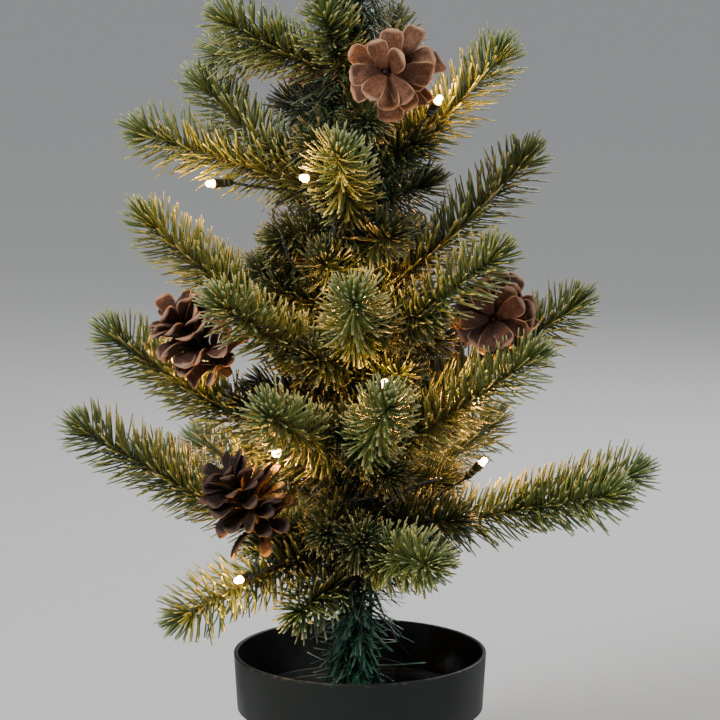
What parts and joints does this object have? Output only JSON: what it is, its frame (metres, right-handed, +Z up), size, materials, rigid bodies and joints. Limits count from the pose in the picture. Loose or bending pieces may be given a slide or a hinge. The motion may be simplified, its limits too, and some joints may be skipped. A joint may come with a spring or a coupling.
{
  "type": "artificial tabletop tree",
  "caption": "Small artificial tree with bendable needle branches, pinecones and a wired light string, standing in a round pot with a battery box.",
  "frame": {"origin": "centre of the pot's underside, on the surface that it stands on", "axes": "+Z up along the trunk, -Y towards the tree's front, +X to its right"},
  "size_m": [0.3091, 0.2263, 0.6],
  "materials": {
    "pot": "matte",
    "cement": "matte",
    "steel": "satin",
    "tinsel": "satin",
    "needles": "satin",
    "pinecone": "matte",
    "lamp": "satin",
    "cable": "satin",
    "case": "satin",
    "cell": "satin",
    "switch": "satin"
  },
  "bodies": {
    "stand": {"base_weight": "cement", "battery_1": "cell", "battery_2": "cell", "battery_case": "case", "contact_bridge": "steel", "contact_plate_1": "steel", "contact_plate_2": "steel", "contact_spring_1": "steel", "contact_spring_2": "steel", "crown": "needles", "light_cable": "cable", "pot": "pot", "trunk_pole": "steel", "trunk_tinsel": "tinsel"},
    "upper_left_limb": {"branch_upper_left": "needles"},
    "upper_right_limb": {"branch_upper_right": "needles", "pinecone_top": "pinecone", "led_lamp_1": "lamp"},
    "upper_front_limb": {"branch_upper_front": "needles"},
    "upper_back_limb": {"branch_upper_back": "needles"},
    "high_left_limb": {"branch_high_left": "needles", "led_lamp_3": "lamp"},
    "high_front_limb": {"branch_high_front": "needles", "led_lamp_2": "lamp"},
    "high_right_limb": {"branch_high_right": "needles"},
    "high_back_limb": {"branch_high_back": "needles", "pinecone_back_high": "pinecone"},
    "middle_left_limb": {"branch_middle_left": "needles"},
    "middle_right_limb": {"branch_middle_right": "needles"},
    "middle_front_limb": {"branch_middle_front": "needles", "led_lamp_11": "lamp"},
    "middle_front_left_limb": {"branch_middle_front_left": "needles"},
    "middle_back_limb": {"branch_middle_back": "needles", "led_lamp_9": "lamp"},
    "wide_left_limb": {"branch_wide_left": "needles", "pinecone_left": "pinecone", "led_lamp_6": "lamp"},
    "wide_right_back_limb": {"branch_wide_right_back": "needles", "pinecone_right": "pinecone", "pinecone_back": "pinecone"},
    "wide_right_limb": {"branch_wide_right": "needles", "led_lamp_7": "lamp"},
    "low_front_left_limb": {"branch_low_front_left": "needles", "led_lamp_12": "lamp"},
    "low_front_limb": {"branch_low_front": "needles", "led_lamp_8": "lamp"},
    "bottom_left_limb": {"branch_bottom_left": "needles", "pinecone_lower_left": "pinecone"},
    "bottom_right_limb": {"branch_bottom_right": "needles", "led_lamp_4": "lamp"},
    "low_back_limb": {"branch_low_back": "needles"},
    "bottom_front_right_limb": {"branch_bottom_front_right": "needles"},
    "bottom_front_left_limb": {"branch_bottom_front_left": "needles", "led_lamp_5": "lamp"},
    "bottom_back_right_limb": {"branch_bottom_back_right": "needles"},
    "bottom_back_left_limb": {"branch_bottom_back_left": "needles", "led_lamp_10": "lamp"},
    "skirt_front_limb": {"branch_skirt_front": "needles"},
    "box_cover": {"battery_cover": "case"},
    "box_switch": {"switch_slider": "switch"}
  },
  "joints": [
    {"name": "upper_left_bend", "type": "hinge", "parent": "stand", "child": "upper_left_limb", "pos_m": [-0.01405, -0.00177, 0.425], "axis": [-0.1736, 0.9848, 0], "range_deg": [-7, 15]},
    {"name": "upper_right_bend", "type": "hinge", "parent": "stand", "child": "upper_right_limb", "pos_m": [0.00601, -0.00195, 0.37], "axis": [-0.1908, -0.9816, 0], "range_deg": [-15, 12]},
    {"name": "upper_front_bend", "type": "hinge", "parent": "stand", "child": "upper_front_limb", "pos_m": [-0.00782, -0.00946, 0.428], "axis": [-0.9272, 0.3746, 0], "range_deg": [-15, 15]},
    {"name": "upper_back_bend", "type": "hinge", "parent": "stand", "child": "upper_back_limb", "pos_m": [-0.00018, 0.00946, 0.405], "axis": [0.9272, -0.3746, 0], "range_deg": [-7, 15]},
    {"name": "high_left_bend", "type": "hinge", "parent": "stand", "child": "high_left_limb", "pos_m": [-0.0142, -0.00018, 0.364], "axis": [-0.0175, 0.9998, 0], "range_deg": [-15, 5]},
    {"name": "high_front_bend", "type": "hinge", "parent": "stand", "child": "high_front_limb", "pos_m": [-0.00489, -0.01016, 0.352], "axis": [-0.9962, 0.0872, 0], "range_deg": [-15, 15]},
    {"name": "high_right_bend", "type": "hinge", "parent": "stand", "child": "high_right_limb", "pos_m": [0.00607, 0.0016, 0.305], "axis": [0.1564, -0.9877, 0], "range_deg": [-15, 15]},
    {"name": "high_back_bend", "type": "hinge", "parent": "stand", "child": "high_back_limb", "pos_m": [-0.00664, 0.00985, 0.34], "axis": [0.9659, 0.2588, 0], "range_deg": [-15, 3]},
    {"name": "middle_left_bend", "type": "hinge", "parent": "stand", "child": "middle_left_limb", "pos_m": [-0.01416, -0.00089, 0.275], "axis": [-0.0872, 0.9962, 0], "range_deg": [-7, 12]},
    {"name": "middle_right_bend", "type": "hinge", "parent": "stand", "child": "middle_right_limb", "pos_m": [0.00465, -0.00541, 0.283], "axis": [-0.5299, -0.848, 0], "range_deg": [-9, 15]},
    {"name": "middle_front_bend", "type": "hinge", "parent": "stand", "child": "middle_front_limb", "pos_m": [-0.00382, -0.0102, 0.283], "axis": [-0.9998, -0.0175, 0], "range_deg": [-15, 15]},
    {"name": "middle_front_left_bend", "type": "hinge", "parent": "stand", "child": "middle_front_left_limb", "pos_m": [-0.01134, -0.00709, 0.27], "axis": [-0.6947, 0.7193, 0], "range_deg": [-15, 15]},
    {"name": "middle_back_bend", "type": "hinge", "parent": "stand", "child": "middle_back_limb", "pos_m": [-0.00051, 0.00958, 0.285], "axis": [0.9397, -0.342, 0], "range_deg": [-15, 15]},
    {"name": "wide_left_bend", "type": "hinge", "parent": "stand", "child": "wide_left_limb", "pos_m": [-0.01418, -0.00071, 0.215], "axis": [-0.0698, 0.9976, 0], "range_deg": [-15, 3]},
    {"name": "wide_right_back_bend", "type": "hinge", "parent": "stand", "child": "wide_right_back_limb", "pos_m": [0.00581, 0.00281, 0.235], "axis": [0.2756, -0.9613, 0], "range_deg": [-9, 3]},
    {"name": "wide_right_bend", "type": "hinge", "parent": "stand", "child": "wide_right_limb", "pos_m": [0.00546, -0.00382, 0.222], "axis": [-0.3746, -0.9272, 0], "range_deg": [-15, 5]},
    {"name": "low_front_left_bend", "type": "hinge", "parent": "stand", "child": "low_front_left_limb", "pos_m": [-0.00831, -0.00924, 0.226], "axis": [-0.9063, 0.4226, 0], "range_deg": [-11, 15]},
    {"name": "low_front_bend", "type": "hinge", "parent": "stand", "child": "low_front_limb", "pos_m": [-0.00223, -0.01005, 0.222], "axis": [-0.9848, -0.1736, 0], "range_deg": [-15, 15]},
    {"name": "bottom_left_bend", "type": "hinge", "parent": "stand", "child": "bottom_left_limb", "pos_m": [-0.01418, -0.00071, 0.168], "axis": [-0.0698, 0.9976, 0], "range_deg": [-13, 7]},
    {"name": "bottom_right_bend", "type": "hinge", "parent": "stand", "child": "bottom_right_limb", "pos_m": [0.00617, -0.00071, 0.178], "axis": [-0.0698, -0.9976, 0], "range_deg": [-15, 15]},
    {"name": "low_back_bend", "type": "hinge", "parent": "stand", "child": "low_back_limb", "pos_m": [-0.00749, 0.00958, 0.23], "axis": [0.9397, 0.342, 0], "range_deg": [-15, 15]},
    {"name": "bottom_front_right_bend", "type": "hinge", "parent": "stand", "child": "bottom_front_right_limb", "pos_m": [-0.00002, -0.00939, 0.168], "axis": [-0.9205, -0.3907, 0], "range_deg": [-15, 15]},
    {"name": "bottom_front_left_bend", "type": "hinge", "parent": "stand", "child": "bottom_front_left_limb", "pos_m": [-0.01265, -0.00541, 0.172], "axis": [-0.5299, 0.848, 0], "range_deg": [-15, 9]},
    {"name": "bottom_back_right_bend", "type": "hinge", "parent": "stand", "child": "bottom_back_right_limb", "pos_m": [0.00256, 0.00781, 0.185], "axis": [0.766, -0.6428, 0], "range_deg": [-15, 13]},
    {"name": "bottom_back_left_bend", "type": "hinge", "parent": "stand", "child": "bottom_back_left_limb", "pos_m": [-0.01121, 0.00721, 0.18], "axis": [0.7071, 0.7071, 0], "range_deg": [-15, 15]},
    {"name": "skirt_front_bend", "type": "hinge", "parent": "stand", "child": "skirt_front_limb", "pos_m": [-0.00941, -0.00865, 0.155], "axis": [-0.848, 0.5299, 0], "range_deg": [-15, 15]},
    {"name": "box_cover_lift", "type": "slide", "parent": "stand", "child": "box_cover", "axis": [0, 0, 1], "range_m": [0, 0.03]},
    {"name": "box_switch_slide", "type": "slide", "parent": "stand", "child": "box_switch", "axis": [0, 1, 0], "range_m": [0, 0.003]}
  ]
}
